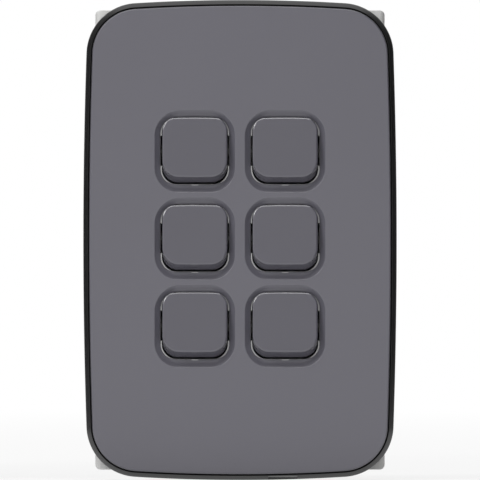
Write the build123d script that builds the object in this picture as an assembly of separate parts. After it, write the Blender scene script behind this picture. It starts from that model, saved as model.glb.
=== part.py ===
"""Six-gang wall switch plate, vertical, with a clip-on cover and six rocker mechanisms.

The pieces are drawn in the plate's own axes: x to the right, y up the wall and z out of the wall
into the room, from the wall plane at the plate's centre. The export stands them up in the row's
frame, where Z is up, the front faces -Y and the wall lies towards +Y.
"""
import os
from math import atan2, cos, degrees, radians, sin, sqrt

from build123d import *

# Plate outline: bowed sides and ends that run into round corners
plate_width = 76.4
plate_height = 117.0
side_bow_radius = 1345.0
end_bow_radius = 421.0
corner_radius = 12.6

# Levels, measured out of the wall
grid_thickness = 3.2
grid_back_hollow = 0.8
cover_front = 10.4
cover_thickness = 1.8

# Gang layout
columns = 2
rows = 3
pitch_x = 22.0
pitch_y = 21.3
field_rise = 0.43

# Grid plate, against the wall
grid_side_inset = 2.9
grid_end_inset = 2.5
grid_corner = 1.2
grid_long_edge_round = 1.4
grid_land = 3.4
fixing_spacing = 84.0
fixing_hole_radius = 2.1
fixing_boss_wall = 2.2
fixing_boss_height = 1.3
field_rib_room = 2.0
field_rib_width = 1.4
field_rib_height = 1.6

# Surround
skirt_gap = 0.2
skirt_wall = 1.8
rim_width = 1.1
rim_slope_height = 1.7
rim_crest = 9.4
surround_web = 1.6
seat_rib_inset = 4.7
seat_rib_width = 1.5
window_margin = 1.6
window_corner = 3.0
access_clearance = 0.6
pry_left = 6.9
pry_width = 7.1
pry_depth = 0.7
pry_height = 1.1

# Front cover
cover_groove = 0.3
cover_edge_round = 0.7
recess_side_band = 1.33
recess_end_band = 1.41
recess_band_corner = 1.9
recess_depth = 1.0
opening_width = 16.9
opening_height = 17.1
opening_corner = 4.05
opening_land = 0.4
opening_relief = 0.25

# Snap legs of the cover and of the surround
leg_width = 4.0
leg_thickness = 1.2
leg_barb = 0.5
leg_barb_height = 0.9
leg_clearance = 0.2
cover_leg_side_inset = 9.0
cover_leg_end_inset = 17.0
surround_leg_side_inset = 8.2
surround_leg_end_inset = 30.0

# Dolly, the rocker cap, drawn level about its pivot
dolly_side_gap = 0.1
dolly_end_gap = 0.1
dolly_stand = 1.0
pivot_depth = 5.5
dolly_tilt = 8.0
dolly_side_taper = 0.04
dolly_end_taper = 0.74
dolly_face_corner = 3.3
dolly_base_corner = 4.1
dolly_flank_depth = 5.3
dolly_skirt_depth = 5.7
dolly_notch_room = 0.3
dolly_front_wall = 1.4
dolly_side_wall = 1.1
dolly_edge_round = 0.3
peg_radius = 0.9
peg_length = 2.0
peg_spacing = 9.0

# Rocker, the actuator under the dolly
rocker_margin = 0.2
rocker_plate = 1.2
axle_half = 1.0
axle_bar_height = 3.2
axle_float = 0.2
pin_radius = 1.0
pin_clearance = 0.05
pin_end_gap = 0.1
hub_height = 5.4
hub_width = 5.8
stem_radius = 2.3
stem_end = 5.6
bore_clearance = 0.1
bore_depth = 7.6

# Plunger and spring
plunger_radius = 1.5
plunger_tip = 9.0
plunger_length = 5.6
spring_wire_radius = 0.2
spring_turns = 6
spring_end_gap = 0.05

# Seesaw contact
contact_width = 3.6
contact_length = 12.0
contact_thickness = 1.0
contact_tilt = 5.2
plunger_gap = 0.15
fulcrum_radius = 0.5
fulcrum_clearance = 0.1
fulcrum_width = 3.0
axis_behind = 0.1
button_reach = 5.0
button_radius = 1.0
button_height = 0.7
button_round = 0.3
closed_gap = 0.15

# Mechanism case
dolly_room_x = 0.35
dolly_room_y = 0.48
cheek_wall = 0.9
neck_end_wall = 0.8
neck_front_gap = 0.6
neck_web = 0.8
collar_gap = 0.08
collar_wall = 0.33
collar_front = 9.2
collar_notch = 7.3
neck_corner = 0.5
neck_clearance = 0.1
case_gap = 0.8
case_depth = 13.0
lug_height = 5.0
lug_gap = 1.2
lug_depth = 1.3

# Mechanism base
plug_clearance = 0.1
flange_thickness = 2.0
latch_width = 5.0
latch_reach = 1.0
latch_depth = 1.2
latch_room = 0.1
latch_setback = 2.6
fin_thickness = 0.6
fin_height = 6.0

# Terminals and their screws
strip_thickness = 0.8
strip_width = 3.2
post_x = 4.5
post_pitch = 5.6
post_radius = 2.2
post_length = 8.0
post_clearance = 0.1
wire_bore_radius = 1.5
wire_bore_depth = 7.0
screw_setback = 4.0
screw_radius = 1.25
screw_clearance = 0.05
screw_stand = 0.3
screw_head_radius = 1.8
screw_head_height = 1.4
screw_slot_width = 0.5
screw_slot_depth = 0.6

# Worked-out levels and sizes that more than one piece uses
cover_back = cover_front - cover_thickness
pivot_out = cover_front + dolly_stand - pivot_depth
neck_front = cover_back - neck_front_gap
surround_back = grid_thickness + skirt_gap
tray_offset = rim_width
cover_offset = tray_offset + cover_groove
grid_half_x = plate_width / 2 - grid_side_inset
grid_half_y = plate_height / 2 - grid_end_inset
collar_half_x = opening_width / 2 - collar_gap
collar_half_y = opening_height / 2 - collar_gap
dolly_half_x = collar_half_x - collar_wall - dolly_side_gap
dolly_face_width = 2 * (dolly_half_x - dolly_side_taper)
dolly_base_height = 2 * (collar_half_y - collar_wall - dolly_end_gap)
dolly_face_height = dolly_base_height - 2 * dolly_end_taper
cavity_half_x = dolly_half_x + dolly_room_x
cavity_half_y = dolly_base_height / 2 + dolly_room_y
neck_half_x = cavity_half_x + cheek_wall
neck_half_y = cavity_half_y + neck_end_wall
field_half_x = (columns - 1) * pitch_x / 2 + neck_half_x
field_half_y = (rows - 1) * pitch_y / 2 + neck_half_y
case_width = pitch_x - case_gap
case_height = pitch_y - case_gap
contact_axis_out = pivot_out - plunger_tip - plunger_gap - contact_thickness - axis_behind
button_drop = button_reach * sin(radians(contact_tilt))
button_drop += (button_height - axis_behind) * cos(radians(contact_tilt))
pad_front = contact_axis_out - button_drop - closed_gap
base_front = pad_front - strip_thickness
flange_back = -case_depth - flange_thickness
post_back = flange_back - post_length
spring_radius = plunger_radius - spring_wire_radius - bore_clearance
bore_floor = stem_end - bore_depth
plunger_back = plunger_tip - plunger_length


def slab(face, low, high):
    """A flat face carried straight out of the wall from one level to another."""
    return Pos(0, 0, low) * extrude(face, high - low)


def block(x0, x1, y0, y1, z0, z1):
    """A box between two corners."""
    return Pos((x0 + x1) / 2, (y0 + y1) / 2, (z0 + z1) / 2) * Box(x1 - x0, y1 - y0, z1 - z0)


def rod_z(radius, low, high):
    """A round bar that runs out of the wall."""
    return Pos(0, 0, (low + high) / 2) * Cylinder(radius, high - low)


def rod_x(radius, left, right):
    """A round bar that runs across the plate."""
    return Pos((left + right) / 2, 0, 0) * Rot(Y=90) * Cylinder(radius, right - left)


def corner_centre():
    """Centre of the corner arc: it touches the side arc and the end arc from inside."""
    side = (plate_width / 2 - side_bow_radius, 0.0)
    end = (0.0, plate_height / 2 - end_bow_radius)
    to_side = side_bow_radius - corner_radius
    to_end = end_bow_radius - corner_radius
    apart = sqrt(side[0] ** 2 + end[1] ** 2)
    along = (apart**2 + to_side**2 - to_end**2) / (2 * apart)
    across = sqrt(to_side**2 - along**2)
    ux, uy = -side[0] / apart, end[1] / apart
    return side[0] + along * ux - across * uy, along * uy + across * ux


def outline(inset):
    """The plate's outline moved inwards: eight tangent arcs that share the outer arcs' centres."""
    cx, cy = corner_centre()
    side_x = plate_width / 2 - side_bow_radius
    end_y = plate_height / 2 - end_bow_radius
    low = degrees(atan2(cy, cx - side_x))
    high = degrees(atan2(cy - end_y, cx))
    corner, side, end = (r - inset for r in (corner_radius, side_bow_radius, end_bow_radius))
    arcs = [
        CenterArc((side_x, 0), side, -low, 2 * low),
        CenterArc((cx, cy), corner, low, high - low),
        CenterArc((0, end_y), end, high, 180 - 2 * high),
        CenterArc((-cx, cy), corner, 180 - high, high - low),
        CenterArc((-side_x, 0), side, 180 - low, 2 * low),
        CenterArc((-cx, -cy), corner, 180 + low, high - low),
        CenterArc((0, -end_y), end, 180 + high, 180 - 2 * high),
        CenterArc((cx, -cy), corner, 360 - high, high - low),
    ]
    return make_face(arcs)


def gang_centres():
    """The gangs' centres, row by row from the top left."""
    for row in range(rows):
        for column in range(columns):
            x = (column - (columns - 1) / 2) * pitch_x
            y = ((rows - 1) / 2 - row) * pitch_y + field_rise
            yield x, y


def corner_places(inset_x, inset_y):
    """Four places set in from the plate's sides and ends."""
    x, y = plate_width / 2 - inset_x, plate_height / 2 - inset_y
    return [(sx * x, sy * y) for sx in (-1, 1) for sy in (-1, 1)]


def cover_leg_places():
    """Where the cover clips into the surround."""
    return corner_places(cover_leg_side_inset, cover_leg_end_inset)


def surround_leg_places():
    """Where the surround clips into the grid plate."""
    return corner_places(surround_leg_side_inset, surround_leg_end_inset)


def snap_legs(places, low, high, catch):
    """Legs that hang from a cover at high, with a barb that hooks outwards under the catch level."""
    legs = []
    for x, y in places:
        outward = 1 if x > 0 else -1
        leg = block(-leg_thickness / 2, leg_thickness / 2, -leg_width / 2, leg_width / 2, low, high)
        tip = leg_thickness / 2 + leg_barb
        hook = Polyline((0, low), (leg_thickness / 2, low), (tip, catch - leg_barb_height / 2),
                        (tip, catch), (0, catch), close=True)
        barb = Pos(0, leg_width / 2, 0) * Rot(X=90) * extrude(make_face(hook), leg_width)
        legs.append(Pos(x, y, 0) * Rot(Z=0 if outward > 0 else 180) * (leg + barb))
    return legs


def leg_slots(places, low, high):
    """The slots that a set of snap legs passes through, with room for the barb to spring by."""
    reach = leg_thickness / 2 + leg_clearance
    half = leg_width / 2 + leg_clearance
    slots = []
    for x, y in places:
        slots.append(Pos(x, y, 0) * block(-reach, reach, -half, half, low, high))
    return slots


def make_front_cover():
    """Thin cover with a rounded edge; a dished recess falls to each rocker opening."""
    cover = slab(outline(cover_offset), cover_back, cover_front)
    cover = fillet(cover.faces().sort_by(Axis.Z)[-1].edges(), cover_edge_round)
    opening = RectangleRounded(opening_width, opening_height, opening_corner)
    recess = RectangleRounded(opening_width + 2 * recess_side_band, opening_height + 2 * recess_end_band,
                              opening_corner + recess_band_corner)
    relief = RectangleRounded(opening_width + 2 * opening_relief, opening_height + 2 * opening_relief,
                              opening_corner + opening_relief)
    edge = cover_front - recess_depth
    for x, y in gang_centres():
        dish = loft([Pos(0, 0, edge) * opening, Pos(0, 0, cover_front) * recess], ruled=True)
        flare = loft([Pos(0, 0, cover_back) * relief, Pos(0, 0, edge - opening_land) * opening], ruled=True)
        hole = slab(opening, cover_back, edge + opening_land)
        cover -= Pos(x, y, 0) * (dish + hole + flare)
    catch = cover_back - surround_web - leg_clearance
    for leg in snap_legs(cover_leg_places(), catch - leg_barb_height, cover_back, catch):
        cover += leg
    return cover


def make_surround():
    """Black surround: skirt, sloped rim, tray for the cover and a seat rib on the grid plate."""
    slope_foot = rim_crest - rim_slope_height
    web_back = cover_back - surround_web
    body = slab(outline(0), surround_back, slope_foot)
    foot, crest = Pos(0, 0, slope_foot) * outline(0), Pos(0, 0, rim_crest) * outline(rim_width)
    body += loft([foot, crest], ruled=True)
    body -= slab(outline(tray_offset), cover_back, rim_crest)
    body -= slab(outline(skirt_wall), surround_back, web_back)
    rib = outline(seat_rib_inset) - outline(seat_rib_inset + seat_rib_width)
    body += slab(rib, grid_thickness, web_back)
    window_x, window_y = field_half_x + window_margin, field_half_y + window_margin
    window = RectangleRounded(2 * window_x, 2 * window_y, window_corner)
    body -= Pos(0, field_rise, 0) * slab(window, web_back, cover_back)
    access = fixing_hole_radius + fixing_boss_wall + access_clearance
    for end in (-1, 1):
        body -= Pos(0, end * fixing_spacing / 2, 0) * rod_z(access, web_back, cover_back)
    for slot in leg_slots(cover_leg_places(), web_back, cover_back):
        body -= slot
    bottom = -plate_height / 2
    pry_low = slope_foot - pry_height
    body -= block(pry_left, pry_left + pry_width, bottom, bottom + pry_depth, pry_low, rim_crest)
    catch = grid_thickness / 2 - leg_clearance
    for leg in snap_legs(surround_leg_places(), leg_clearance, web_back, catch):
        body += leg
    return body


def make_grid_plate():
    """Pale plate on a hollow back, with round long edges and an opening for each mechanism."""
    section = Rot(X=90) * RectangleRounded(2 * grid_half_x, grid_thickness, grid_long_edge_round)
    plate = Pos(0, grid_half_y, grid_thickness / 2) * extrude(section, 2 * grid_half_y)
    plate &= slab(RectangleRounded(2 * grid_half_x, 2 * grid_half_y, grid_corner), 0, grid_thickness)
    rib_x, rib_y = 2 * (field_half_x + field_rib_room), 2 * (field_half_y + field_rib_room)
    rib = Rectangle(rib_x + 2 * field_rib_width, rib_y + 2 * field_rib_width)
    rib -= Rectangle(rib_x, rib_y)
    plate += Pos(0, field_rise, 0) * slab(rib, grid_thickness, grid_thickness + field_rib_height)
    hollow = RectangleRounded(2 * (grid_half_x - grid_land), 2 * (grid_half_y - grid_land), grid_corner)
    plate -= slab(hollow, 0, grid_back_hollow)
    boss = fixing_hole_radius + fixing_boss_wall
    for end in (-1, 1):
        place = Pos(0, end * fixing_spacing / 2, 0)
        plate += place * rod_z(boss, 0, grid_thickness + fixing_boss_height)
        plate -= place * rod_z(fixing_hole_radius, 0, grid_thickness + fixing_boss_height)
    opening = RectangleRounded(2 * (neck_half_x + neck_clearance), 2 * (neck_half_y + neck_clearance),
                               neck_corner + neck_clearance)
    for x, y in gang_centres():
        plate -= Pos(x, y, 0) * slab(opening, 0, grid_thickness)
    for slot in leg_slots(surround_leg_places(), 0, grid_thickness):
        plate -= slot
    reach = leg_thickness / 2 + leg_barb + leg_clearance
    half = leg_width / 2 + leg_clearance
    for x, y in surround_leg_places():
        plate -= Pos(x, y, 0) * block(-reach, reach, -half, half, 0, grid_thickness / 2)
    return plate


def make_dolly():
    """Hollow rocker cap: sloped flanks, upright sides that straddle the axle, two pegs behind."""
    face_level = pivot_depth
    flank_level = face_level - dolly_flank_depth
    skirt_level = face_level - dolly_skirt_depth
    face = RectangleRounded(dolly_face_width, dolly_face_height, dolly_face_corner)
    base = RectangleRounded(2 * dolly_half_x, dolly_base_height, dolly_base_corner)
    cap = loft([Pos(0, 0, flank_level) * base, Pos(0, 0, face_level) * face], ruled=True)
    cap = fillet(cap.faces().sort_by(Axis.Z)[-1].edges(), dolly_edge_round)
    cap += slab(base, skirt_level, flank_level)
    cap -= slab(dolly_cavity(0), skirt_level, face_level - dolly_front_wall)
    notch = axle_bar_height / 2 + dolly_notch_room
    cap -= block(-dolly_half_x, dolly_half_x, -notch, notch, skirt_level, axle_half + dolly_notch_room)
    back = face_level - dolly_front_wall
    for side in (-1, 1):
        cap += Pos(side * peg_spacing / 2, 0, 0) * rod_z(peg_radius, back - peg_length, back)
    return cap


def dolly_cavity(gap):
    """The outline inside the dolly's walls, moved inwards by a gap for what fits in it."""
    wall = dolly_side_wall + gap
    return RectangleRounded(dolly_face_width - 2 * wall, dolly_face_height - 2 * wall,
                            dolly_face_corner - dolly_side_wall)


def make_rocker():
    """Actuator: plate under the dolly, hub, axle bar with two pivot pins, and the bored stem behind."""
    front = pivot_depth - dolly_front_wall
    plate_back = front - rocker_plate
    rocker = slab(dolly_cavity(rocker_margin), plate_back, front)
    rocker += block(-hub_width / 2, hub_width / 2, -hub_height / 2, hub_height / 2, -axle_half, plate_back)
    bar = cavity_half_x - axle_float
    rocker += block(-bar, bar, -axle_bar_height / 2, axle_bar_height / 2, -axle_half, axle_half)
    rocker += rod_x(pin_radius, -neck_half_x + pin_end_gap, neck_half_x - pin_end_gap)
    rocker += rod_z(stem_radius, -stem_end, 0)
    rocker -= rod_z(plunger_radius + bore_clearance, -stem_end, -bore_floor)
    for side in (-1, 1):
        hole = rod_z(peg_radius + pin_clearance, plate_back, front)
        rocker -= Pos(side * peg_spacing / 2, 0, 0) * hole
    return rocker


def make_plunger():
    """Round-nosed pin in the stem's bore."""
    dome = plunger_tip - plunger_radius
    return rod_z(plunger_radius, -dome, -plunger_back) + Pos(0, 0, -dome) * Sphere(plunger_radius)


def make_spring():
    """Coil spring between the bore's floor and the plunger's back."""
    low = -plunger_back + spring_wire_radius + spring_end_gap
    high = -bore_floor - spring_wire_radius - spring_end_gap
    path = Helix((high - low) / spring_turns, high - low, spring_radius)
    wire = Plane(path @ 0, z_dir=path % 0) * Circle(spring_wire_radius)
    return Pos(0, 0, low) * sweep(wire, path, is_frenet=True)


def make_contact():
    """Seesaw contact: brass bar with a round groove over the fulcrum and a button at each end."""
    half = contact_width / 2
    end_y = contact_length / 2
    bar = block(-half, half, -end_y, end_y, axis_behind, axis_behind + contact_thickness)
    bar -= rod_x(fulcrum_radius + fulcrum_clearance, -half, half)
    for end in (-1, 1):
        button = rod_z(button_radius, axis_behind - button_height, axis_behind)
        button = fillet(button.faces().sort_by(Axis.Z)[0].edges(), button_round)
        bar += Pos(0, end * button_reach, 0) * button
    return bar


def make_mech_body():
    """Mechanism case: the box, its neck with the pivot cheeks, and a collar open at both sides."""
    neck = RectangleRounded(2 * neck_half_x, 2 * neck_half_y, neck_corner)
    case = slab(neck, 0, neck_front)
    case += slab(RectangleRounded(case_width, case_height, neck_corner), -case_depth, grid_back_hollow)
    lug_tip = (pitch_x - lug_gap) / 2
    lug_front = grid_thickness + lug_depth
    lug = Polyline((0, grid_thickness), (lug_tip, grid_thickness), (neck_half_x, lug_front),
                   (0, lug_front), close=True)
    wedge = Pos(0, lug_height / 2, 0) * Rot(X=90) * extrude(make_face(lug), lug_height)
    case += wedge + Rot(Z=180) * wedge
    case -= slab(Rectangle(2 * cavity_half_x, 2 * cavity_half_y), -case_depth, neck_front - neck_web)
    case += slab(collar_outline(0), neck_front, collar_front)
    case -= slab(collar_outline(collar_wall), neck_front - neck_web, collar_front)
    notch = collar_notch / 2
    case -= block(-collar_half_x, collar_half_x, -notch, notch, neck_front - neck_web, collar_front)
    case -= Pos(0, 0, pivot_out) * rod_x(pin_radius + pin_clearance, -neck_half_x, neck_half_x)
    window = latch_width / 2 + latch_room
    wall_y = case_height / 2
    low, high = latch_levels()
    case -= block(-window, window, -wall_y, wall_y, low - latch_room, high + latch_room)
    return case


def collar_outline(inset):
    """The collar's outline in the cover's opening, moved inwards by an inset."""
    return RectangleRounded(2 * (collar_half_x - inset), 2 * (collar_half_y - inset),
                            opening_corner - collar_gap - inset)


def latch_levels():
    """Back and front of the base's latches."""
    low = -case_depth + latch_setback
    return low, low + latch_depth


def post_places(x):
    """A gang's three posts: a row along the side that faces away from the plate's middle."""
    side = 1 if x > 0 else -1
    return [(side, side * post_x, step * post_pitch) for step in (1, 0, -1)]


def make_mech_base(x):
    """Base: plug in the case with two latches, flange, post holes and the fins between the posts."""
    half_x, half_y = cavity_half_x - plug_clearance, cavity_half_y - plug_clearance
    base = slab(Rectangle(2 * half_x, 2 * half_y), -case_depth, base_front)
    base += slab(RectangleRounded(case_width, case_height, neck_corner), flange_back, -case_depth)
    low, high = latch_levels()
    reach = half_y + latch_reach
    base += block(-latch_width / 2, latch_width / 2, -reach, reach, low, high)
    for side, px, py in post_places(x):
        base -= Pos(px, py, 0) * rod_z(post_radius + post_clearance, flange_back, base_front)
    fin_x, fin_y = post_x + post_radius, fin_thickness / 2
    fin = block(-fin_x, fin_x, -fin_y, fin_y, flange_back - fin_height, flange_back)
    for step in (-1, 1):
        base += Pos(0, step * post_pitch / 2, 0) * fin
    return base


def make_terminals(x):
    """A gang's three terminals: the common one with the fulcrum, and one under each button."""
    pieces = []
    for (side, px, py), pad_y in zip(post_places(x), (button_reach, 0, -button_reach)):
        inner = -side * contact_width / 2
        strip = block(min(inner, px), max(inner, px), pad_y - strip_width / 2, pad_y + strip_width / 2,
                      base_front, pad_front)
        post = rod_z(post_radius, post_back, pad_front)
        post -= rod_z(wire_bore_radius, post_back, post_back + wire_bore_depth)
        hole = Rot(Z=0 if side > 0 else 180) * rod_x(screw_radius + screw_clearance, 0, post_radius)
        post -= Pos(0, 0, post_back + screw_setback) * hole
        piece = strip + Pos(px, py, 0) * post
        if pad_y == 0:
            half = fulcrum_width / 2
            piece += block(-half, half, -fulcrum_radius, fulcrum_radius, pad_front, contact_axis_out)
            piece += Pos(0, 0, contact_axis_out) * rod_x(fulcrum_radius, -half, half)
        pieces.append(piece)
    return pieces


def make_screws(x):
    """Clamp screws of a gang's three posts, their slotted heads away from the plate's middle."""
    under_head = post_radius + screw_stand
    screw = rod_x(screw_radius, wire_bore_radius, under_head)
    screw += rod_x(screw_head_radius, under_head, under_head + screw_head_height)
    top = under_head + screw_head_height
    screw -= block(top - screw_slot_depth, top, -screw_slot_width / 2, screw_slot_width / 2,
                   -screw_head_radius, screw_head_radius)
    level = post_back + screw_setback
    return [Pos(px, py, level) * Rot(Z=0 if side > 0 else 180) * screw for side, px, py in post_places(x)]


def write(name, solids):
    """Stand a piece up in the row's frame and write it as a STEP file."""
    placed = [Plane.XZ * solid for solid in solids]
    shape = placed[0] if len(placed) == 1 else Compound(children=placed)
    export_step(shape, os.path.join("parts", name + ".step"))


os.makedirs("parts", exist_ok=True)
write("front_cover", [make_front_cover()])
write("surround", [make_surround()])
write("grid_plate", [make_grid_plate()])
dolly, rocker, plunger, spring = make_dolly(), make_rocker(), make_plunger(), make_spring()
contact, mech_body = make_contact(), make_mech_body()
screws = []
for number, (x, y) in enumerate(gang_centres(), start=1):
    place = Pos(x, y, 0)
    tipped = Pos(x, y, pivot_out) * Rot(X=-dolly_tilt)
    write(f"dolly_{number}", [tipped * dolly])
    write(f"rocker_{number}", [tipped * rocker])
    write(f"plunger_{number}", [tipped * plunger])
    write(f"spring_{number}", [tipped * spring])
    write(f"contact_{number}", [Pos(x, y, contact_axis_out) * Rot(X=contact_tilt) * contact])
    write(f"mech_body_{number}", [place * mech_body])
    write(f"mech_base_{number}", [place * make_mech_base(x)])
    write(f"terminals_{number}", [place * piece for piece in make_terminals(x)])
    screws += [place * screw for screw in make_screws(x)]
write("terminal_screws", screws)
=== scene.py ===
"""Six-gang rocker switch plate: a bowed grey cover in a black surround, with its mechanisms behind."""
from math import atan2, radians, sqrt, tan

import bmesh
import bpy
import numpy as np
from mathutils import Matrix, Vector


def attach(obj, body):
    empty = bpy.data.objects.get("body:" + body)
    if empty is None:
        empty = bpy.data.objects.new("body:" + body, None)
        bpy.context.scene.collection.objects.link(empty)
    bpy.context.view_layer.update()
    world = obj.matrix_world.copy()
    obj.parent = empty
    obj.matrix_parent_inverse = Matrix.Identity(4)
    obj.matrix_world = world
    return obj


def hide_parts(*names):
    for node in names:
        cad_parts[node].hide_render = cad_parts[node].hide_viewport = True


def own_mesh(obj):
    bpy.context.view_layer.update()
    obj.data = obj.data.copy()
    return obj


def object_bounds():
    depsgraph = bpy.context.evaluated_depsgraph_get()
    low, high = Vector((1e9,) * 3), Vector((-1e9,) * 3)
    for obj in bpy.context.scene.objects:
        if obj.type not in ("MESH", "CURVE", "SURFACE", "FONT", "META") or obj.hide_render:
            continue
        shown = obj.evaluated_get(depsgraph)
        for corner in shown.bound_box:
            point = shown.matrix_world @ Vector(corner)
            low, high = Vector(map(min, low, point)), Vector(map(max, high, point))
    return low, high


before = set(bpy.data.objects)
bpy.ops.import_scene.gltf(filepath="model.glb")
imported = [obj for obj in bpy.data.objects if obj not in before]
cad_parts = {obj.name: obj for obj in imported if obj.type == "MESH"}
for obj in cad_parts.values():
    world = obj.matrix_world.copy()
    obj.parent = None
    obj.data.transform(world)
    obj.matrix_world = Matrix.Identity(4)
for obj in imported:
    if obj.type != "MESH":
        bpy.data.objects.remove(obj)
cad_box = [list(corner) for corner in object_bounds()]

# Grid plate: the pale plate that is screwed to the wall and carries the rest. It is moulded in one shot from
# a white thermoplastic, with a fine spark-eroded skin whose colour drifts a little over the plate.


def feed(tree, socket, value):
    """Put a number into a node's input socket, or link another node's output to it."""
    if isinstance(value, (int, float)):
        socket.default_value = value
    else:
        tree.links.new(value, socket)


def arithmetic(tree, operation, first, second, third=0.0):
    """A Math node on sockets or numbers: first (operation) second, or first * second + third."""
    node = tree.nodes.new("ShaderNodeMath")
    node.operation = operation
    for socket, value in zip(node.inputs, (first, second, third)):
        feed(tree, socket, value)
    return node.outputs[0]


def noise(tree, scale, detail, vector):
    """Height of a Noise texture on a vector socket, with its scale as a socket or a number per metre."""
    node = tree.nodes.new("ShaderNodeTexNoise")
    feed(tree, node.inputs["Vector"], vector)
    feed(tree, node.inputs["Scale"], scale)
    feed(tree, node.inputs["Detail"], detail)
    return node.outputs[0]


def surface_group(name, cloud_scale, cloud_detail, cloud_share, grain_share, stretch=(1, 1, 1)):
    """A shader node group for the skin of a moulded or worked piece.

    A soft cloud makes the colour drift, by 1 + drift * (cloud - 1/2). The roughness is the gloss value plus a
    share of the cloud and one of a fine grain, each less its middle of 1/2. The grain, which may be stretched
    into streaks, is also the relief of the normal, on edges that are rounded by the edge value."""
    tree = bpy.data.node_groups.new(name, "ShaderNodeTree")
    tree.interface.new_socket("Colour", in_out="INPUT", socket_type="NodeSocketColor")
    for label in ("Drift", "Gloss", "Grain", "Depth", "Edge"):
        tree.interface.new_socket(label, in_out="INPUT", socket_type="NodeSocketFloat")
    for label, kind in (("Colour", "Color"), ("Roughness", "Float"), ("Normal", "Vector")):
        tree.interface.new_socket(label, in_out="OUTPUT", socket_type=f"NodeSocket{kind}")
    given = tree.nodes.new("NodeGroupInput").outputs
    result = tree.nodes.new("NodeGroupOutput").inputs

    place = tree.nodes.new("ShaderNodeTexCoord").outputs["Object"]
    stretched = tree.nodes.new("ShaderNodeMapping")
    stretched.inputs["Scale"].default_value = stretch
    feed(tree, stretched.inputs["Vector"], place)
    cloud = arithmetic(tree, "SUBTRACT", noise(tree, cloud_scale, cloud_detail, place), 0.5)
    grain = noise(tree, given["Grain"], 2.0, stretched.outputs[0])
    fine = arithmetic(tree, "SUBTRACT", grain, 0.5)

    tint = tree.nodes.new("ShaderNodeHueSaturation")
    feed(tree, tint.inputs["Color"], given["Colour"])
    feed(tree, tint.inputs["Value"], arithmetic(tree, "MULTIPLY_ADD", cloud, given["Drift"], 1.0))
    feed(tree, result["Colour"], tint.outputs[0])

    rough = arithmetic(tree, "MULTIPLY_ADD", cloud, cloud_share, given["Gloss"])
    feed(tree, result["Roughness"], arithmetic(tree, "MULTIPLY_ADD", fine, grain_share, rough))

    edge = tree.nodes.new("ShaderNodeBevel")
    feed(tree, edge.inputs["Radius"], given["Edge"])
    relief = tree.nodes.new("ShaderNodeBump")
    feed(tree, relief.inputs["Normal"], edge.outputs[0])
    feed(tree, relief.inputs["Height"], grain)
    feed(tree, relief.inputs["Distance"], given["Depth"])
    feed(tree, result["Normal"], relief.outputs[0])
    return tree


def finish(name, group, **values):
    """A material whose Principled shader takes colour, roughness and normal from a group with these values."""
    material = bpy.data.materials.new(name)
    material.use_nodes = True
    tree = material.node_tree
    shader = tree.nodes["Principled BSDF"]
    effect = tree.nodes.new("ShaderNodeGroup")
    effect.node_tree = group
    for label, value in values.items():
        effect.inputs[label.capitalize()].default_value = value
    feed(tree, shader.inputs["Base Color"], effect.outputs["Colour"])
    feed(tree, shader.inputs["Roughness"], effect.outputs["Roughness"])
    feed(tree, shader.inputs["Normal"], effect.outputs["Normal"])
    return material, shader


def dress(material, *names):
    """Give CAD nodes a material in each of their slots."""
    for name in names:
        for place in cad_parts[name].material_slots:
            place.material = material


skin = surface_group("moulded_skin", cloud_scale=45.0, cloud_detail=3.0, cloud_share=0.12, grain_share=0.10)
pale_plastic, _ = finish("pale_grid_plastic", skin, colour=(0.74, 0.74, 0.73, 1), drift=0.04, gloss=0.42,
                         grain=5200.0, depth=2.5e-6, edge=2e-4)
dress(pale_plastic, "grid_plate")

# Mechanism cases and bases: pale and dark grey glass-filled nylon boxes, each gang's own. The case's neck comes
# through the grid plate from behind and hooks on it, and the base with the terminals is latched into its back.
gangs = range(1, 7)
case_plastic, _ = finish("pale_case_nylon", skin, colour=(0.41, 0.41, 0.41, 1), drift=0.08, gloss=0.5,
                         grain=4200.0, depth=5e-6, edge=1e-4)
base_plastic, _ = finish("grey_base_nylon", skin, colour=(0.16, 0.165, 0.17, 1), drift=0.10, gloss=0.55,
                         grain=3800.0, depth=6e-6, edge=2e-4)
dress(case_plastic, *(f"mech_body_{n}" for n in gangs))
dress(base_plastic, *(f"mech_base_{n}" for n in gangs))

# Terminals, contacts and clamp screws: posts turned from brass bar with punched strips riveted to them, seesaw
# contacts of the same brass, and zinc-plated steel screws. Turning and plating leave fine streaks.
metal = surface_group("worked_metal", cloud_scale=300.0, cloud_detail=4.0, cloud_share=0.3, grain_share=0.08,
                      stretch=(0.12, 1.0, 0.12))
brass, brass_shader = finish("turned_brass", metal, colour=(0.76, 0.56, 0.26, 1), drift=0.25, gloss=0.28,
                             grain=2600.0, depth=1.5e-6, edge=1e-4)
zinc, zinc_shader = finish("zinc_steel", metal, colour=(0.62, 0.63, 0.65, 1), drift=0.2, gloss=0.32,
                           grain=3200.0, depth=1.5e-6, edge=1e-4)
for shader in (brass_shader, zinc_shader):
    shader.inputs["Metallic"].default_value = 1.0
dress(brass, *(f"{kind}_{n}" for kind in ("terminals", "contact") for n in gangs))
dress(zinc, "terminal_screws")

# Actuators: black acetal rockers on two pivot pins in the case's cheeks, each with a red plunger on a coil
# spring in its hollow stem. Acetal is slick, so its skin is smoother than the nylon around it.
rocker_plastic, _ = finish("black_acetal", skin, colour=(0.02, 0.02, 0.021, 1), drift=0.05, gloss=0.3,
                           grain=5200.0, depth=1.5e-6)
plunger_plastic, _ = finish("red_acetal", skin, colour=(0.42, 0.03, 0.02, 1), drift=0.08, gloss=0.3,
                            grain=5200.0, depth=1.5e-6)
dress(rocker_plastic, *(f"rocker_{n}" for n in gangs))
dress(plunger_plastic, *(f"plunger_{n}" for n in gangs))

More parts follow.
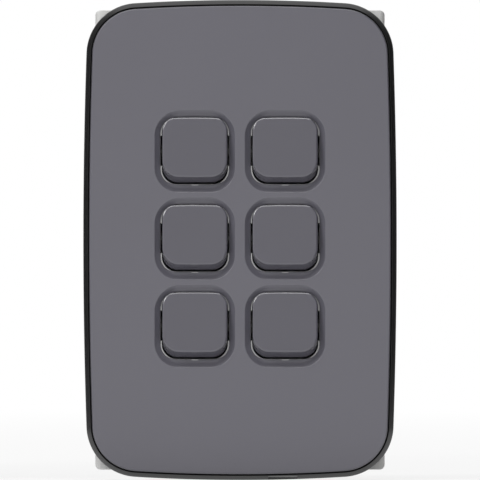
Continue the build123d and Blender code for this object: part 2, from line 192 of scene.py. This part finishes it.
# Springs: a coil of zinc-plated wire in each rocker's stem, between the bore's floor and the plunger, which it
# pushes against the seesaw contact. The end turns lie close, as on a cut spring. Lengths are in millimetres
# here and in the sections up to the studio.
pitch = np.array([22.0, 21.3])
field_rise = 0.43
gang_centres = [np.array([(column - 0.5) * pitch[0], (1 - row) * pitch[1] + field_rise])
                for row in range(3) for column in range(2)]

pivot_out, rocker_tilt = 5.9, radians(8.0)
rocker_turn = np.array([[1, 0, 0],
                        [0, np.cos(rocker_tilt), np.sin(rocker_tilt)],
                        [0, -np.sin(rocker_tilt), np.cos(rocker_tilt)]])
coil_back, coil_front, coil_radius, wire_radius = -3.15, 1.75, 1.2, 0.2
coil_turns, close_pitch, plunger_travel = 6, 0.42, 0.4
turn_steps, wire_steps = 28, 12
full_turn = 2 * np.pi
sharp_turn = radians(32.0)
weld_decimals = 4


def in_row(points):
    """Places in millimetres as right, up and out of the wall, turned into the row's frame in metres."""
    return points[..., [0, 2, 1]] * (0.001, -0.001, 0.001)


def arc(centre, radius, start, stop, steps):
    """Points centre + radius * (cos a, sin a) for equal steps of a, in radians, without the last one."""
    a = np.linspace(start, stop, steps, endpoint=False)
    return np.column_stack((centre[0] + radius * np.cos(a), centre[1] + radius * np.sin(a)))


def both_ends(patches):
    """The first and the last loop of each patch, which close it as a rod or a peg is closed."""
    return [patch[end] for patch in patches for end in (0, -1)]


def shell(name, patches, caps):
    """A closed mesh from patches of loops, with places in millimetres as right, up and out of the wall.

    A patch is an array (loops, points, 3): point n of loop k makes a quad with the next points of its loop and
    of the next loop, and each loop closes on itself. Each cap is a loop closed by one flat face. Points in the
    same place are welded, and the faces of each closed part are turned outwards."""
    places, quads, ends, start = [], [], [], 0
    for patch in patches:
        rows, count, _ = patch.shape
        grid = start + np.arange(rows * count).reshape(rows, count)
        following = np.roll(grid, -1, axis=1)
        corners = np.stack((grid[:-1], following[:-1], following[1:], grid[1:]), axis=-1)
        quads.append(corners.reshape(-1, 4))
        places.append(patch.reshape(-1, 3))
        start += rows * count
    for cap in caps:
        ends.append(start + np.arange(len(cap)))
        places.append(cap)
        start += len(cap)
    points, welded = np.unique(np.round(np.concatenate(places), weld_decimals), axis=0, return_inverse=True)
    welded = welded.reshape(-1)
    faces = [*welded[np.concatenate(quads)].tolist(), *(welded[end].tolist() for end in ends)]
    mesh = bpy.data.meshes.new(name)
    mesh.from_pydata(in_row(points).tolist(), [], faces)
    turned_out = bmesh.new()
    turned_out.from_mesh(mesh)
    bmesh.ops.recalc_face_normals(turned_out, faces=turned_out.faces)
    turned_out.to_mesh(mesh)
    turned_out.free()
    mesh.shade_smooth()
    mesh.set_sharp_from_angle(angle=sharp_turn)
    piece = bpy.data.objects.new(name, mesh)
    bpy.context.scene.collection.objects.link(piece)
    return piece


def coil_spring():
    """A wire's circle swept along a helix: at turn t the middle is radius * (cos 2 pi t, sin 2 pi t) and rises
    by the close pitch in the first and last turn and evenly between them. The circle spans the radial and the
    upright way."""
    turn = np.linspace(0, coil_turns, turn_steps * coil_turns + 1)
    rise = np.interp(turn, (0, 1, coil_turns - 1, coil_turns),
                     (coil_back, coil_back + close_pitch, coil_front - close_pitch, coil_front))
    radial = np.column_stack((np.cos(full_turn * turn), np.sin(full_turn * turn)))
    section = arc((0, 0), wire_radius, 0, full_turn, wire_steps)
    flat = radial[:, None] * (coil_radius + section[None, :, :1])
    return np.concatenate((flat, (rise[:, None] + section[None, :, 1])[..., None]), axis=-1)


coil = coil_spring()
for number, centre in zip(gangs, gang_centres):
    place = np.array([*centre, pivot_out])
    placed_coil = coil @ rocker_turn.T + place
    spring = shell(f"plunger_spring_{number}", [placed_coil], both_ends([placed_coil]))
    spring.data.materials.append(zinc)
    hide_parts(f"spring_{number}")
    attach(spring, f"rocker_{number}")
    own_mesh(spring)

# Surround: the black frame between grid plate and cover, moulded in polycarbonate. A straight skirt runs up to
# a sloped rim, inside it lies the cover's tray, and a rib behind the tray stands on the grid plate. Four legs
# snap into the grid plate, and the tray is pierced for the cover's legs and over the fixing screws.
plate_half = np.array([38.2, 58.5])
side_bow, end_bow, plate_corner = 1345.0, 421.0, 12.6
side_steps, end_steps, side_corner_steps, end_corner_steps = 36, 20, 24, 18
pry_edges, pry_floor, pry_low, pry_wall = np.array([6.9, 14.0]), -57.8, 6.6, 0.02
tray_front, tray_back, tray_groove = 8.6, 7.0, (1.14, 8.3)
skirt_wall, skirt_back, skirt_chamfer = 1.8, 3.4, 0.2
rib_insets, rib_back = (6.2, 4.7), 3.2
rim_shoulder = (0.0, 7.4), (0.0, 7.7), (0.16, 7.95)
rim_crest = (0.97, 9.2), (1.08, 9.37), (1.1, 9.1)
window_half, window_corner, window_corner_steps = np.array([21.79, 32.22]), 3.0, 20
window_up, window_across = np.linspace(-1, 1, 45), np.linspace(-1, 1, 25)
leg_half, barb_half, leg_round = np.array([0.6, 1.95]), np.array([0.85, 2.0]), 0.1
barb_shift, barb_height = 0.2, 0.45
surround_leg_places = [np.array([x, y]) for x in (-30.0, 30.0) for y in (-28.5, 28.5)]
surround_leg_tip, surround_leg_catch, surround_leg_root = 0.2, 1.4, 7.1
cover_leg_places = [np.array([x, y]) for x in (-29.2, 29.2) for y in (-41.5, 41.5)]
leg_slot_half = np.array([0.8, 2.2])
access_places, access_radius = [np.array([0.0, y]) for y in (-42.0, 42.0)], 4.9
core_levels = (6.5, 8.95)


def plate_loop(inset):
    """The plate's outline moved inwards, anticlockwise from the middle of the lower right corner.

    Sides, ends and corners are tangent arcs about fixed centres, and the inset shortens each radius, so that
    insets run parallel. Half of the loop is drawn, and half a turn gives the other half. The ends have a pair
    of points at each edge of the pry slot, so that its walls are upright."""
    side_x, end_y = plate_half - (side_bow, end_bow)
    reach = sqrt(side_x**2 + end_y**2)
    along = (reach**2 + (side_bow - plate_corner) ** 2 - (end_bow - plate_corner) ** 2) / (2 * reach)
    across = sqrt((side_bow - plate_corner) ** 2 - along**2)
    corner = np.array([side_x + (-along * side_x - across * end_y) / reach,
                       (along * end_y - across * side_x) / reach])
    low = atan2(corner[1], corner[0] - side_x)
    high = atan2(corner[1] - end_y, corner[0])
    middle = (low + high) / 2
    spread = np.pi / 2 - high
    slot_edges = np.concatenate((pry_edges - pry_wall, pry_edges + pry_wall)) / end_bow
    cuts = np.sort(np.concatenate((np.linspace(-spread, spread, end_steps + 1), -slot_edges, slot_edges)))[::-1]
    end = np.column_stack(((end_bow - inset) * np.sin(cuts), end_y + (end_bow - inset) * np.cos(cuts)))
    half = np.concatenate((
        arc(corner * (1, -1), plate_corner - inset, -middle, -low, side_corner_steps),
        arc((side_x, 0), side_bow - inset, -low, low, side_steps),
        arc(corner, plate_corner - inset, low, middle, side_corner_steps),
        arc(corner, plate_corner - inset, middle, high, end_corner_steps),
        end[:-1],
        arc(corner * (-1, 1), plate_corner - inset, np.pi - high, np.pi - middle, end_corner_steps)))
    return np.concatenate((half, -half))


def box_loop(half, radius, corner_steps, up, across):
    """A rectangle with round corners, anticlockwise from the middle of the lower right corner.

    Each corner is an arc about its centre; up and across give the places of the points along the straight
    runs, from -1 to 1. Half of the loop is drawn, and half a turn gives the other half."""
    x, y = half - radius
    turn = np.pi / 4
    drawn = np.concatenate((
        arc((x, -y), radius, -turn, 0, corner_steps),
        np.column_stack((np.full(len(up) - 1, half[0]), up[:-1] * y)),
        arc((x, y), radius, 0, turn, corner_steps),
        arc((x, y), radius, turn, 2 * turn, corner_steps),
        np.column_stack((-across[:-1] * x, np.full(len(across) - 1, half[1]))),
        arc((-x, y), radius, 2 * turn, 3 * turn, corner_steps)))
    return np.concatenate((drawn, -drawn))


def raised(loop, out):
    """A flat loop carried out of the wall to a level."""
    return np.column_stack((loop, np.full(len(loop), out)))


def bend(before, edge, after, steps):
    """Points of a rounded edge: the parabola that touches both legs, (1-t)^2 a + 2t(1-t) b + t^2 c."""
    t = np.linspace(0, 1, steps + 1)[:, None]
    return (1 - t) ** 2 * np.array(before) + 2 * t * (1 - t) * np.array(edge) + t**2 * np.array(after)


def swept(profile):
    """The plate's outline carried through (inset, out) points of a profile, with the pry slot cut from it."""
    loops = np.stack([raised(plate_loop(inset), out) for inset, out in profile])
    x, y, out = loops[..., 0], loops[..., 1], loops[..., 2]
    slot = (x > pry_edges[0]) & (x < pry_edges[1]) & (y < 0) & (out > pry_low)
    loops[..., 1] = np.where(slot, np.maximum(y, pry_floor), y)
    return loops


def leg_loop(half, place):
    """A small round-cornered rectangle about a place, for a leg or its slot."""
    steps = np.linspace(-1, 1, 3)
    return box_loop(half, leg_round, 3, steps, steps) + place


def snap_leg(place, low, catch, high):
    """A snap leg as a stack of round-cornered rectangles: from its tip it widens outwards to the barb, steps
    back at the catch and runs up into the piece that it hangs from."""
    slim = leg_loop(leg_half, place)
    wide = leg_loop(barb_half, place) + (barb_shift * np.sign(place[0]), 0)
    return np.stack((raised(slim, low), raised(wide, catch - barb_height), raised(wide, catch),
                     raised(slim, catch), raised(slim, high)))


def cut(piece, cutter):
    """Cuts the volume of one closed shell from another and deletes the cutter."""
    difference = piece.modifiers.new("cut", "BOOLEAN")
    difference.operation = "DIFFERENCE"
    difference.solver = "EXACT"
    difference.object = cutter
    evaluated = piece.evaluated_get(bpy.context.evaluated_depsgraph_get())
    piece.data = bpy.data.meshes.new_from_object(evaluated)
    piece.modifiers.clear()
    bpy.data.objects.remove(cutter)


rim_outer = swept(np.concatenate((
    [(0.0, skirt_back + skirt_chamfer), (0.0, pry_low - pry_wall / 2), (0.0, pry_low + pry_wall / 2)],
    bend(*rim_shoulder, 4),
    bend(*rim_crest, 4),
    [tray_groove, (skirt_wall, tray_front)])))
# The window's loop has as many points as the plate's, so that the tray joins them point to point.
window = box_loop(window_half, window_corner, window_corner_steps, window_up, window_across) + (0, field_rise)
rim_inner = swept([
    (rib_insets[0], tray_back), (rib_insets[0], rib_back),
    (rib_insets[1], rib_back), (rib_insets[1], tray_back),
    (skirt_wall, tray_back), (skirt_wall, skirt_back), (skirt_chamfer, skirt_back),
    (0.0, skirt_back + skirt_chamfer)])
surround_ring = np.concatenate((rim_outer, [raised(window, tray_front), raised(window, tray_back)], rim_inner))
surround_legs = [snap_leg(place, surround_leg_tip, surround_leg_catch, surround_leg_root)
                 for place in surround_leg_places]
surround = shell("surround_frame", [surround_ring, *surround_legs], both_ends(surround_legs))
bores = [arc(place, access_radius, 0, full_turn, 64) for place in access_places]
bores += [leg_loop(leg_slot_half, place) for place in cover_leg_places]
cores = [np.stack([raised(bore, level) for level in core_levels]) for bore in bores]
cut(surround, shell("surround_cores", cores, both_ends(cores)))
black_plastic, black_shader = finish("black_polycarbonate", skin, colour=(0.0125, 0.0125, 0.013, 1), drift=0.2,
                                     gloss=0.34, grain=5600.0, depth=2e-6)
polycarbonate_index = 1.585
black_shader.inputs["IOR"].default_value = polycarbonate_index
surround.data.materials.append(black_plastic)
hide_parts("surround")
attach(surround, "plate")

# Front cover: the thin grey plate that clips into the surround's tray by four legs, moulded in polycarbonate
# with a satin skin. Its rim is rounded, and round each rocker it falls in a hollow dish to an opening with a
# small rounded lip.
cover_front, cover_back, cover_inset, cover_round = 10.4, tray_front, 1.48, 0.35
rim_land, back_chamfer = 0.05, 0.1
opening_half, opening_corners = np.array([8.45, 8.55]), (4.65, 4.3)
dish_width, dish_depth, dish_corner, dish_drop = np.array([1.35, 1.54]), 1.0, 1.7, 0.12
dish_round, dish_land, dish_run = 0.12, 0.06, dish_width.mean()
lip_pitch, lip_land, lip_relief, lip_round = 0.72, 0.16, 0.32, 0.06
lip_sag, sag_reach, sag_blend, sag_share = 0.3, 7.6, 2.4, 0.25
lip_up, lip_across, lip_corner_steps = np.linspace(-1, 1, 9), np.linspace(-1, 1, 13), 10
cover_leg_tip, cover_leg_catch, cover_leg_root = 5.9, 6.8, 8.7


def dish_loop(away):
    """Loop round the opening, from its edge (away 0) to the dish's rim (away 1), with the corners opening out.

    The upper corners are rounder than the lower ones, and the rim lies a little lower than the opening. Near
    the edge the upper and lower runs stand further in, by sag * (1 - away / share) * s(x), where s rises
    smoothly from 0 in the corners to 1 along the run."""
    half = opening_half + away * dish_width
    upper, lower = (box_loop(half, corner + max(away, 0) * dish_corner, lip_corner_steps, lip_up, lip_across)
                    for corner in opening_corners)
    loop = np.where(upper[:, 1:] > 0, upper, lower)
    along = np.clip((sag_reach - np.abs(loop[:, 0])) / sag_blend, 0, 1)
    inward = lip_sag * np.clip(1 - away / sag_share, 0, 1) * along**2 * (3 - 2 * along)
    loop[:, 1] -= np.sign(loop[:, 1]) * inward + dish_drop * max(away, 0)
    return loop


def dish_out(away):
    """Level of the dish at a distance from the opening's edge: a parabola, front - depth * (1 - p u -
    (1 - p) u^2) at the share u of the dish's width, which leaves the edge at p times the mean slope and
    steepens to the rim."""
    share = away / dish_run
    return cover_front - dish_depth * (1 - lip_pitch * share - (1 - lip_pitch) * share**2)


def even_loop(half, up_steps, across_steps):
    """A rectangle with evenly spaced points on each side, anticlockwise from the lower right corner."""
    x, y = half
    up = np.linspace(-1, 1, up_steps, endpoint=False)
    across = np.linspace(-1, 1, across_steps, endpoint=False)
    drawn = np.concatenate((np.column_stack((np.full(up_steps, x), up * y)),
                            np.column_stack((-across * x, np.full(across_steps, y)))))
    return np.concatenate((drawn, -drawn))


edge_out = cover_front - dish_depth
rim_foot = dish_run - dish_round
hollow = np.linspace(rim_foot, lip_round, 8)
dish_profile = np.concatenate((
    [(dish_run + dish_round + dish_land, cover_front)],
    bend((dish_run + dish_round, cover_front), (dish_run, cover_front), (rim_foot, dish_out(rim_foot)), 4),
    np.column_stack((hollow, dish_out(hollow)))[1:-1],
    bend((lip_round, dish_out(lip_round)), (0.0, edge_out), (0.0, edge_out - lip_round), 5),
    [(0.0, edge_out - lip_land), (lip_relief, edge_out - lip_land), (lip_relief, cover_back)]))
up_steps = 2 * lip_corner_steps + len(lip_up) - 1
across_steps = 2 * lip_corner_steps + len(lip_across) - 1
cover_patches = []
for centre in gang_centres:
    cell = even_loop(pitch / 2, up_steps, across_steps) + centre
    dish = [raised(dish_loop(away / dish_run) + centre, out) for away, out in dish_profile]
    cover_patches.append(np.stack((raised(cell, cover_front), *dish, raised(cell, cover_back))))
# The field is the edge of all six cells together, and it too has as many points as the plate's loop.
field = even_loop(pitch * (1, 1.5), 3 * up_steps, 2 * across_steps) + (0, field_rise)
round_turn = np.linspace(0, np.pi / 2, 9)
rim_profile = np.concatenate((
    [(cover_inset + cover_round + rim_land, cover_front)],
    np.column_stack((cover_inset + cover_round * (1 - np.sin(round_turn)),
                     cover_front - cover_round * (1 - np.cos(round_turn)))),
    [(cover_inset, cover_back + back_chamfer), (cover_inset + back_chamfer, cover_back)]))
rim = [raised(plate_loop(inset), out) for inset, out in rim_profile]
cover_patches.append(np.stack((raised(field, cover_front), *rim, raised(field, cover_back))))
cover_legs = [snap_leg(place, cover_leg_tip, cover_leg_catch, cover_leg_root) for place in cover_leg_places]
cover = shell("front_cover_plate", [*cover_patches, *cover_legs], both_ends(cover_legs))
cover_plastic, cover_shader = finish("grey_cover_polycarbonate", skin, colour=(0.102, 0.099, 0.119, 1),
                                     drift=0.03, gloss=0.33, grain=7000.0, depth=1.2e-6)
cover_shader.inputs["IOR"].default_value = polycarbonate_index
cover.data.materials.append(cover_plastic)
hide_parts("front_cover")
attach(cover, "plate")

# Collar pips: a small locating tab on the lower run of each case's collar, moulded with it in the pale nylon.
# The cover's lip sits over the collar there, and the tab's front shows in it.
pip_half, pip_corner, pip_place = np.array([0.85, 0.13]), 0.12, (0, -8.32)
pip_foot, pip_front, pip_round = 9.1, 9.45, 0.06
pip_steps = np.linspace(-1, 1, 7)
pip_profile = ((0, pip_foot), (0, pip_front - pip_round), (pip_round / 3, pip_front - pip_round / 3),
               (pip_round, pip_front))
pip = np.stack([
    raised(box_loop(pip_half - inset, pip_corner - inset, 4, pip_steps[::3], pip_steps) + pip_place, out)
    for inset, out in pip_profile])
for number, centre in zip(gangs, gang_centres):
    placed_pip = pip + (*centre, 0)
    tab = shell(f"collar_pip_{number}", [placed_pip], both_ends([placed_pip]))
    tab.data.materials.append(case_plastic)
    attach(tab, "plate")

# Dollies: the rocker caps that the finger presses, moulded in the cover's grey. Their colour is set a little
# darker than the cover's, as painted shade for the tilted faces. Each is a hollow cap with a flat face in a
# narrow bevel, upright sides, and flanks above and below that slope down to a ledge. Two pegs hold it on the
# rocker behind, and its sides are notched to straddle the axle.
face_half, face_corners, face_level = np.array([7.9, 7.14]), (2.95, 3.9), 5.5
face_bow, face_rise, face_insets = 0.2, 0.1, (6.0, 3.0)
bevel, bevel_slope, bevel_land = 0.36, tan(radians(22.0)), 0.1
face_round, face_fall, edge_land, edge_round = 0.03, 0.01, 0.06, 0.1
ledge_top, ledge_foot, ledge_spread = 2.45, 2.25, (0.58, 0.85)
ledge_hollow, ledge_round = 0.06, 0.04
base_half, base_corner, base_level, base_land = np.array([7.94, 8.04]), 3.8, 0.2, 0.05
hem_level, hem_chamfer = -0.2, 0.1
notch_half, notch_level, notch_side, notch_squeeze = 1.9, 1.3, 6.0, 0.15
cavity_half, cavity_corner, cavity_level = np.array([6.8, 6.2]), 2.2, 4.1
peg_places, peg_radius, peg_root, peg_tip, peg_chamfer = (-4.5, 4.5), 0.9, 0.3, 2.0, 0.15
least_corner, dolly_corner_steps = 0.3, 12
dolly_up = np.array([-1, -0.75, -0.51, -0.47, -0.25, 0, 0.25, 0.47, 0.51, 0.75, 1])
dolly_across = np.linspace(-1, 1, 17)


def straddled(loop):
    """Lifts a loop's points beside the axle: out' = notch + squeeze * (out - hem) where out is below the notch,
    which packs the side's lower points into a narrow band above the notch's level."""
    x, y, out = loop.T
    notch = (np.abs(y) < notch_half) & (np.abs(x) > notch_side) & (out < notch_level)
    return np.column_stack((x, y, np.where(notch, notch_level + notch_squeeze * (out - hem_level), out)))


def dolly_loop(spread, inset, level):
    """Loop of the dolly between its face outline (spread 0) and its base outline (spread 1), moved in by an
    inset. The lower corners are rounder than the upper ones. Towards the face the whole loop is set a little
    higher, and its ends bow out by bow * (1 - (x / half_x)^2) * (y / half_y)^4."""
    half = face_half + spread * (base_half - face_half) - inset
    radii = [max(corner + spread * (base_corner - corner) - inset, least_corner) for corner in face_corners]
    upper, lower = (box_loop(half, radius, dolly_corner_steps, dolly_up, dolly_across) for radius in radii)
    loop = np.where(upper[:, 1:] > 0, upper, lower)
    x, y = np.abs(loop.T) / half[:, None]
    bow = face_bow * (1 - spread) * (1 - x**2) * np.clip(y, 0, 1) ** 4
    loop[:, 1] += np.sign(loop[:, 1]) * bow + face_rise * (1 - spread)
    return straddled(raised(loop, level))


def peg(centre_x):
    """A round peg behind the face: a circle carried from inside the front wall to a chamfered tip."""
    circle, point = (arc((centre_x, 0), radius, 0, full_turn, 24)
                     for radius in (peg_radius, peg_radius - peg_chamfer))
    return np.stack((raised(circle, cavity_level + peg_root), raised(circle, peg_tip + peg_chamfer),
                     raised(point, peg_tip)))


bevel_level = face_level - bevel * bevel_slope
flank_at = edge_round / (face_level - ledge_top) * ledge_spread[0]
face_edge = bend((0.0, bevel + face_round, face_level), (0.0, bevel, face_level),
                 (0.0, bevel - face_round, face_level - face_fall), 2)
flank_edge = bend((0.0, edge_land, bevel_level + edge_land * bevel_slope), (0.0, 0.0, bevel_level),
                  (flank_at, 0.0, bevel_level - edge_round), 5)
cap_profile = [
    *((0, inset, face_level) for inset in (*face_insets, bevel + bevel_land)),
    *face_edge,
    *flank_edge,
    (ledge_spread[0], 0, ledge_top + ledge_hollow), (ledge_spread[0] + ledge_hollow / 2, 0, ledge_top),
    (ledge_spread[1] - ledge_round, 0, ledge_foot + ledge_round),
    (ledge_spread[1], 0, ledge_foot - ledge_round),
    (1, 0, base_level), (1, 0, base_level - base_land),
    (1, 0, hem_level + hem_chamfer), (1, hem_chamfer, hem_level)]
cavity = box_loop(cavity_half, cavity_corner, dolly_corner_steps, dolly_up, dolly_across)
cap = np.stack([*(dolly_loop(*row) for row in cap_profile),
                straddled(raised(cavity, hem_level)), raised(cavity, cavity_level)])
dolly_patches = [cap, *(peg(x) for x in peg_places)]
# Painted shade: the dolly's colour is darker than the cover's grey to stand in for the shade on its tilted
# face.
dolly_painted_shade_plastic, dolly_shader = finish("grey_dolly_polycarbonate_painted_shade", skin, colour=(0.084, 0.081, 0.099, 1),
                                     drift=0.03, gloss=0.2, grain=7600.0, depth=1.0e-6)
dolly_shader.inputs["IOR"].default_value = polycarbonate_index
for number, centre in zip(gangs, gang_centres):
    placed_patches = [patch @ rocker_turn.T + (*centre, pivot_out) for patch in dolly_patches]
    dolly = shell(f"dolly_cap_{number}", placed_patches, both_ends(placed_patches))
    dolly.data.materials.append(dolly_painted_shade_plastic)
    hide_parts(f"dolly_{number}")
    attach(dolly, f"rocker_{number}")

# Studio, in metres: a pale floor under the plate's lower edge that fades into the white surrounding, soft light
# from all round, three softboxes, and two dark cards that shade the plate's sides. The camera stands far in
# front with a long lens, square to the plate.
scene = bpy.context.scene
floor_reach, floor_shade, floor_roughness = 20.0, 0.95, 0.9
fade_from, fade_to, shadow_share = 0.3, 1.6, 0.2
dome_strength = 0.56
card_foot, card_top, card_back, card_roughness = -0.058, 0.3, 0.12, 0.95


def sheet(name, corners, shade, roughness):
    """One flat four-cornered face of the studio, in a matt grey, and its material."""
    material = bpy.data.materials.new(name)
    material.use_nodes = True
    shader = material.node_tree.nodes["Principled BSDF"]
    shader.inputs["Base Color"].default_value = (shade, shade, shade, 1)
    shader.inputs["Roughness"].default_value = roughness
    mesh = bpy.data.meshes.new(name)
    mesh.from_pydata(corners, [], [(0, 1, 2, 3)])
    mesh.materials.append(material)
    piece = bpy.data.objects.new(name, mesh)
    scene.collection.objects.link(piece)
    return piece, material.node_tree


def seen(tree):
    """1 on rays by which the camera sees, straight, by reflection or through a piece, and 0 on the others."""
    path = tree.nodes.new("ShaderNodeLightPath").outputs
    direct = arithmetic(tree, "MAXIMUM", path["Is Camera Ray"], path["Is Transmission Ray"])
    return arithmetic(tree, "MAXIMUM", direct, path["Is Glossy Ray"])


def blended(tree, share, first, second, output):
    """Shows a mix of two shaders at the tree's output: the first at share 0 and the second at share 1."""
    mix = tree.nodes.new("ShaderNodeMixShader")
    for socket, value in zip(mix.inputs, (share, first, second)):
        feed(tree, socket, value)
    feed(tree, tree.nodes[output].inputs["Surface"], mix.outputs[0])


floor_corners = [(x * floor_reach, y * floor_reach, cad_box[0][2])
                 for x, y in ((-1, -1), (1, -1), (1, 1), (-1, 1))]
floor, floor_tree = sheet("studio_floor", floor_corners, floor_shade, floor_roughness)
floor_away = floor_tree.nodes.new("ShaderNodeVectorMath")
floor_away.operation = "LENGTH"
feed(floor_tree, floor_away.inputs[0], floor_tree.nodes.new("ShaderNodeTexCoord").outputs["Object"])
floor_fade = floor_tree.nodes.new("ShaderNodeMapRange")
for label, value in (("Value", floor_away.outputs["Value"]), ("From Min", fade_from), ("From Max", fade_to),
                     ("To Min", 1 - shadow_share), ("To Max", 1.0)):
    feed(floor_tree, floor_fade.inputs[label], value)
blended(floor_tree, arithmetic(floor_tree, "MULTIPLY", seen(floor_tree), floor_fade.outputs["Result"]),
        floor_tree.nodes["Principled BSDF"].outputs[0], floor_tree.nodes.new("ShaderNodeEmission").outputs[0],
        "Material Output")

scene.world = bpy.data.worlds.new("white_studio")
scene.world.use_nodes = True
sky = scene.world.node_tree
backdrop = sky.nodes["Background"]
dome = sky.nodes.new("ShaderNodeBackground")
for light in (backdrop, dome):
    light.inputs["Color"].default_value = (1, 1, 1, 1)
dome.inputs["Strength"].default_value = dome_strength
blended(sky, seen(sky), dome.outputs[0], backdrop.outputs[0], "World Output")


def softbox(name, place, aim, width, height, power):
    """A rectangular lamp that faces a point and isn't seen by the camera."""
    lamp = bpy.data.lights.new(name, "AREA")
    lamp.shape = "RECTANGLE"
    lamp.size = width
    lamp.size_y = height
    lamp.energy = power
    piece = bpy.data.objects.new(name, lamp)
    piece.location = place
    piece.rotation_euler = (Vector(aim) - piece.location).to_track_quat("-Z", "Y").to_euler()
    piece.visible_camera = False
    scene.collection.objects.link(piece)


softbox("overhead_softbox", place=(-0.20, -0.40, 0.72), aim=(-0.20, 0, 0.03),
        width=0.90, height=0.13, power=2.8)
softbox("left_softbox", place=(-0.60, -0.60, 0.54), aim=(0, 0, 0), width=0.14, height=0.34, power=2.35)
softbox("low_fill", place=(0, -0.42, -0.0575), aim=(0, -0.42, 1), width=1.20, height=0.80, power=1.35)


def card(name, x, front, shade):
    """An upright card beside the plate that keeps light off one side, from in front of it to behind it."""
    corners = [(x, front, card_foot), (x, card_back, card_foot), (x, card_back, card_top), (x, front, card_top)]
    piece, _ = sheet(name, corners, shade, card_roughness)
    piece.visible_camera = False


card("left_card", x=-0.16, front=-0.10, shade=0.06)
card("right_card", x=0.16, front=-0.26, shade=0.02)

camera_distance, sensor_width = 4.0, 36.0
plate_height, plate_pixels, picture_side = 2 * plate_half[1] / 1000, 479.2, 480
lens = bpy.data.cameras.new("camera")
lens.sensor_width = sensor_width
lens.lens = sensor_width * camera_distance * plate_pixels / (plate_height * picture_side)
lens.clip_end = 20.0
camera = bpy.data.objects.new("camera", lens)
camera.location = (0.0, -camera_distance, 0.0)
camera.rotation_euler = (radians(90), 0, 0)
scene.collection.objects.link(camera)
scene.camera = camera
scene.view_settings.view_transform = "Standard"
